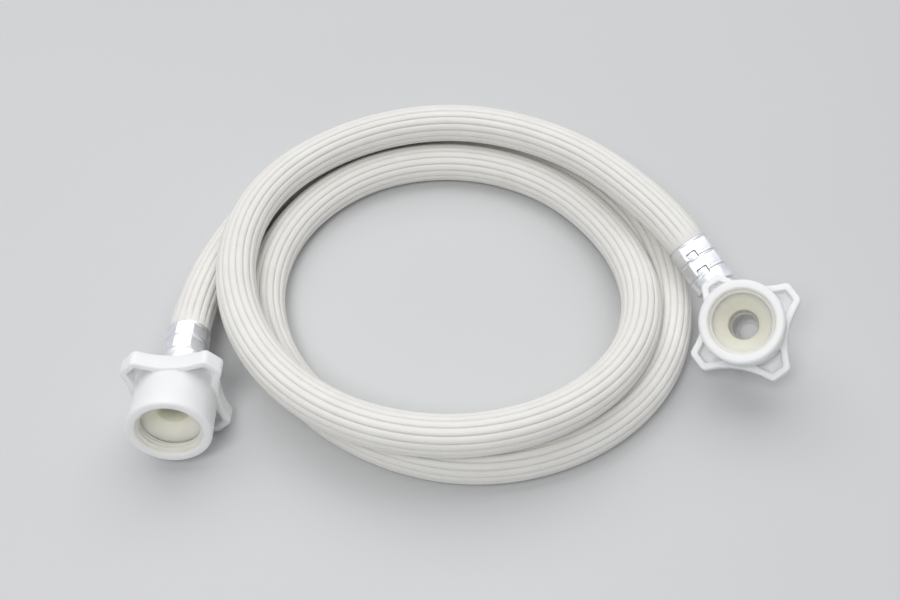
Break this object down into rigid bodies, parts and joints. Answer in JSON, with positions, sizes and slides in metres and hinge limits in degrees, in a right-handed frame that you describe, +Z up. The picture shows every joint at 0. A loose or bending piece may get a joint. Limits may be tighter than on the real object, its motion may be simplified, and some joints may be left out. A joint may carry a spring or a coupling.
{
  "type": "water inlet hose",
  "caption": "White ribbed water inlet hose in a loose coil, with a straight swivel nut at the tap end and an elbow with a swivel nut at the machine end.",
  "frame": {"origin": "on the ground under the centre of the part's box, as it lies coiled", "axes": "+Z up, -Y towards the viewer of the picture, +X towards the machine end on the picture's right"},
  "size_m": [0.2783, 0.2114, 0.0543],
  "materials": {
    "hose": "warm white ribbed PVC skin",
    "nut": "white moulded nylon, satin",
    "stem": "milky white moulded plastic",
    "ferrule": "drawn and crimped, satin",
    "washer": "cream rubber, matt"
  },
  "bodies": {
    "hose_body": {"hose": "hose", "tap_ferrule": "ferrule", "tap_stem": "stem", "machine_ferrule": "ferrule", "machine_elbow": "stem"},
    "tap_swivel": {"tap_nut": "nut", "tap_washer": "washer"},
    "machine_swivel": {"machine_nut": "nut", "machine_washer": "washer"}
  },
  "joints": [
    {"name": "tap_nut_spin", "type": "hinge", "parent": "hose_body", "child": "tap_swivel", "pos_m": [-0.1185, -0.0928, 0.0235], "axis": [-0.0035, -0.9936, 0.1132], "continuous": true},
    {"name": "machine_nut_spin", "type": "hinge", "parent": "hose_body", "child": "machine_swivel", "pos_m": [0.1101, -0.0528, 0.0443], "axis": [-0.2906, -0.5222, 0.8018], "continuous": true}
  ]
}
